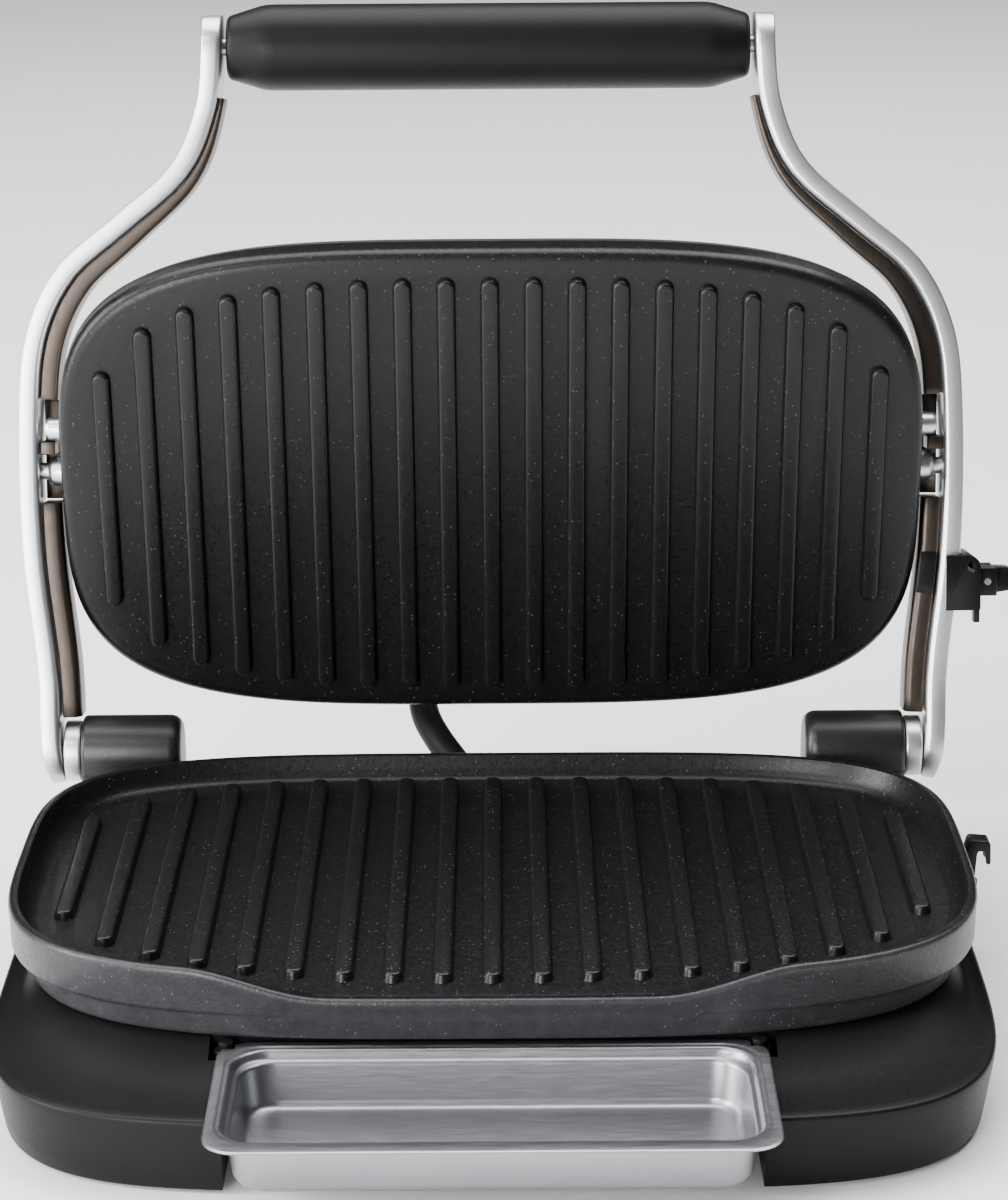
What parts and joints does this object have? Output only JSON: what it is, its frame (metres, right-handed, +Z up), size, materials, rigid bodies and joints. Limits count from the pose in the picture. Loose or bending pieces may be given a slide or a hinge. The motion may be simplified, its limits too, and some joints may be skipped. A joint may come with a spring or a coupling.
{
  "type": "panini press",
  "caption": "Contact grill with ribbed upper and lower plates, side arms joined by a round grip, a sliding height clip and a front drip tray.",
  "frame": {"origin": "under the middle of the base, on the surface the press stands on", "axes": "+X to the right of a person in front, +Y to the back, +Z up; the press is open"},
  "size_m": [0.4154, 0.3896, 0.3653],
  "materials": {
    "black_moulded_plastic": "fine moulded texture",
    "nonstick_cast_aluminium": "dark non-stick coating with fine flecks",
    "satin_cast_aluminium": "satin",
    "anodised_liner": "satin anodised",
    "stainless_steel": "brushed",
    "black_rubber": "matt",
    "grip_plastic": "matt",
    "heating_element_sheath": "oxidised",
    "bronze_bush": "plain",
    "clear_red_lens": "clear gloss"
  },
  "bodies": {
    "base": {"base_shell": "black_moulded_plastic", "base_bottom_cover": "black_moulded_plastic", "mains_cord_gland": "black_moulded_plastic", "terminal_block": "black_moulded_plastic", "hinge_barrel_left": "black_moulded_plastic", "hinge_barrel_right": "black_moulded_plastic", "hinge_bush_left": "bronze_bush", "hinge_bush_right": "bronze_bush", "catch_ear_front": "black_moulded_plastic", "catch_ear_rear": "black_moulded_plastic", "catch_pin": "stainless_steel", "tray_post_left": "black_moulded_plastic", "tray_post_right": "black_moulded_plastic", "conduit_gland_base": "black_moulded_plastic", "lower_grill_plate": "nonstick_cast_aluminium", "lower_heating_element": "heating_element_sheath", "lower_reflector": "stainless_steel", "cover_screw_front_left": "stainless_steel", "cover_screw_front_right": "stainless_steel", "cover_screw_rear_left": "stainless_steel", "cover_screw_rear_right": "stainless_steel", "foot_front_left": "black_rubber", "foot_front_right": "black_rubber", "foot_rear_left": "black_rubber", "foot_rear_right": "black_rubber", "link_conduit": "black_rubber"},
    "arms": {"arm_left": "satin_cast_aluminium", "arm_right": "satin_cast_aluminium", "arm_liner_lower_left": "anodised_liner", "arm_liner_lower_right": "anodised_liner", "arm_liner_upper_left": "anodised_liner", "arm_liner_upper_right": "anodised_liner", "pivot_window_bar_left": "anodised_liner", "pivot_window_bar_right": "anodised_liner", "hinge_knuckle_left": "satin_cast_aluminium", "hinge_knuckle_right": "satin_cast_aluminium", "hinge_shaft_left": "stainless_steel", "hinge_shaft_right": "stainless_steel", "grip": "grip_plastic", "grip_rod": "stainless_steel", "clip_pad": "black_moulded_plastic"},
    "platen": {"upper_grill_plate": "nonstick_cast_aluminium", "lid_cover": "stainless_steel", "upper_heating_element": "heating_element_sheath", "upper_reflector": "stainless_steel", "thermostat": "stainless_steel", "pivot_pin_left": "satin_cast_aluminium", "pivot_pin_right": "satin_cast_aluminium", "stop_pin_left": "satin_cast_aluminium", "stop_pin_right": "satin_cast_aluminium", "power_lamp_lens": "clear_red_lens", "ready_lamp_lens": "clear_red_lens", "conduit_gland_lid": "black_moulded_plastic"},
    "clip": {"height_clip_block": "black_moulded_plastic", "clip_lever_pin": "stainless_steel"},
    "clip_lever": {"clip_lever": "black_moulded_plastic"},
    "catch": {"storage_catch": "black_moulded_plastic"},
    "tray": {"drip_tray": "stainless_steel"}
  },
  "joints": [
    {"name": "arm_hinge", "type": "hinge", "parent": "base", "child": "arms", "pos_m": [0, 0.125, 0.06], "axis": [1, 0, 0], "range_deg": [0, 91.38], "deforming": ["link_conduit"]},
    {"name": "platen_tilt", "type": "hinge", "parent": "arms", "child": "platen", "pos_m": [0, 0.1473, 0.17648], "axis": [1, 0, 0], "range_deg": [-9.4, 0]},
    {"name": "clip_slide", "type": "slide", "parent": "arms", "child": "clip", "axis": [0, 0.1881, 0.9822], "range_m": [0, 0.04]},
    {"name": "clip_lever_turn", "type": "hinge", "parent": "clip", "child": "clip_lever", "pos_m": [0.207, 0.13826, 0.12924], "axis": [0, -0.9822, 0.1881], "range_deg": [0, 90]},
    {"name": "catch_swing", "type": "hinge", "parent": "base", "child": "catch", "pos_m": [0.189, 0.04, 0.033], "axis": [0, 1, 0], "range_deg": [0, 25]},
    {"name": "tray_slide", "type": "slide", "parent": "base", "child": "tray", "axis": [0, -1, 0], "range_m": [0, 0.105]}
  ],
  "couplings": [
    {"joint": "platen_tilt", "follows": "arm_hinge", "ratio": -0.10265}
  ]
}
